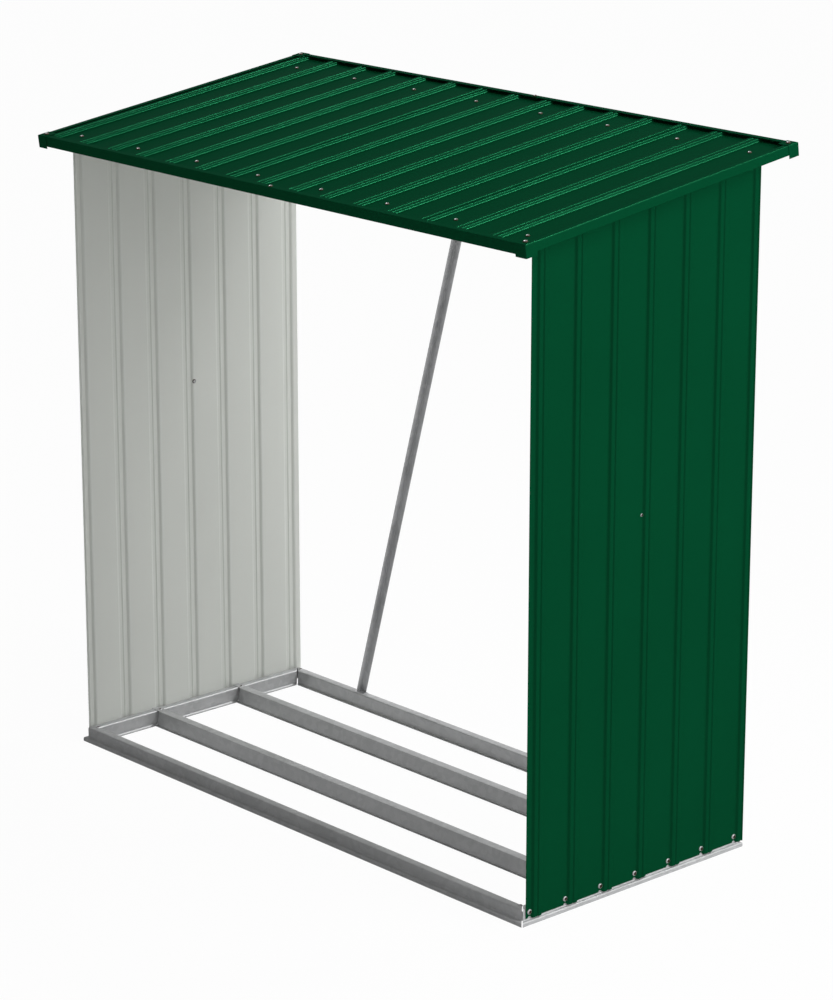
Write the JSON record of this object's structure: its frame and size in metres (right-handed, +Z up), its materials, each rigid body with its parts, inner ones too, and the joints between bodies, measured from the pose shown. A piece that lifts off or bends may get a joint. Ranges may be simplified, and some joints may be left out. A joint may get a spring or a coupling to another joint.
{
  "type": "log store",
  "caption": "Open-fronted sheet-steel log store: galvanised base frame with floor bearers, ribbed side walls, rear braces and a ribbed lean-to roof with edge trims.",
  "frame": {"origin": "on the ground under the middle of the roof", "axes": "+Z up, the open front faces -Y, +X to the right as seen from the front"},
  "size_m": [1.8748, 0.9284, 1.84],
  "materials": {
    "coated_sheet": "dark green coil coating outside, pale grey backing coat inside, satin",
    "green_trim": "dark green coating, satin",
    "galvanised_steel": "dull zinc, faint spangle"
  },
  "bodies": {
    "root": {"front_floor_bearer": "galvanised_steel", "front_left_base_bracket": "galvanised_steel", "front_left_roof_cap": "green_trim", "front_right_base_bracket": "galvanised_steel", "front_right_roof_cap": "green_trim", "front_sill": "galvanised_steel", "front_top_rail": "galvanised_steel", "front_trim_left": "green_trim", "front_trim_right": "green_trim", "left_base_rail": "galvanised_steel", "left_top_rail": "galvanised_steel", "left_verge_trim": "green_trim", "left_wall_front_sheet": "coated_sheet", "left_wall_rear_sheet": "coated_sheet", "rear_base_rail": "galvanised_steel", "rear_brace_left": "galvanised_steel", "rear_brace_right": "galvanised_steel", "rear_floor_bearer": "galvanised_steel", "rear_left_base_bracket": "galvanised_steel", "rear_left_roof_cap": "green_trim", "rear_right_base_bracket": "galvanised_steel", "rear_right_roof_cap": "green_trim", "rear_top_rail": "galvanised_steel", "rear_trim_left": "green_trim", "rear_trim_right": "green_trim", "right_base_rail": "galvanised_steel", "right_top_rail": "galvanised_steel", "right_verge_trim": "green_trim", "right_wall_front_sheet": "coated_sheet", "right_wall_rear_sheet": "coated_sheet", "roof_sheet_1": "coated_sheet", "roof_sheet_2": "coated_sheet", "roof_sheet_3": "coated_sheet", "roof_sheet_4": "coated_sheet", "roof_sheet_5": "coated_sheet"}
  },
  "joints": []
}
